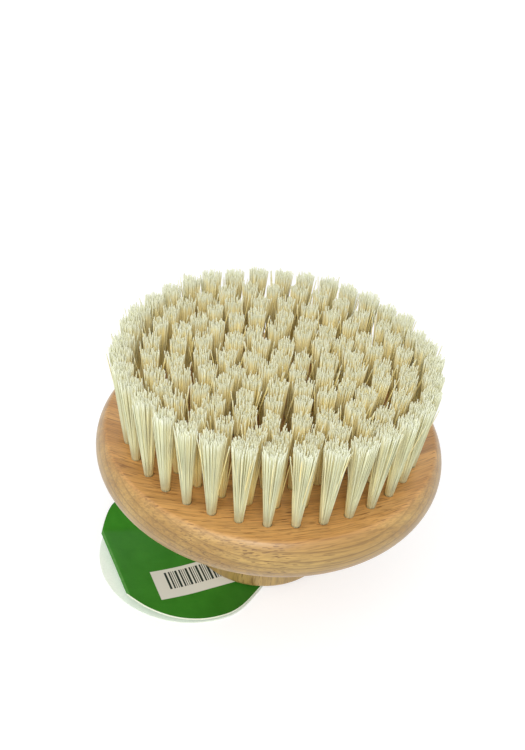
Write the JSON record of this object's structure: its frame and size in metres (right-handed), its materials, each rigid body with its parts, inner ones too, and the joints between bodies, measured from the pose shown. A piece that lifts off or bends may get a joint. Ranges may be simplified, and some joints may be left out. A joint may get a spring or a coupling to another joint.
{
  "type": "body brush",
  "caption": "Round palm body brush: turned beech head set with rings of pale bristle tufts, on a waisted knob, standing on its folded card tag.",
  "frame": {"origin": "on the brush's axis, at the level of the surface that it stands on", "axes": "+Z along the brush's axis, from the knob to the bristle tips; the tag lies towards -X and -Y"},
  "size_m": [0.11, 0.11, 0.0819],
  "materials": {
    "beech": "oiled beech, satin",
    "beech_knob": "oiled beech, satin",
    "bristle": "pale plant fibre",
    "card_green": "coated card, printed plain green",
    "card_white": "uncoated white card"
  },
  "bodies": {
    "root": {"brush_head": "beech", "palm_knob": "beech_knob", "joint_dowel": "beech_knob", "tuft_ring_1": "bristle", "tuft_ring_2": "bristle", "tuft_ring_3": "bristle", "tuft_ring_4": "bristle", "tuft_ring_5": "bristle", "tuft_ring_6": "bristle", "centre_tuft": "bristle", "tag_back_leaf": "card_white", "tag_front_leaf": "card_green"}
  },
  "joints": []
}
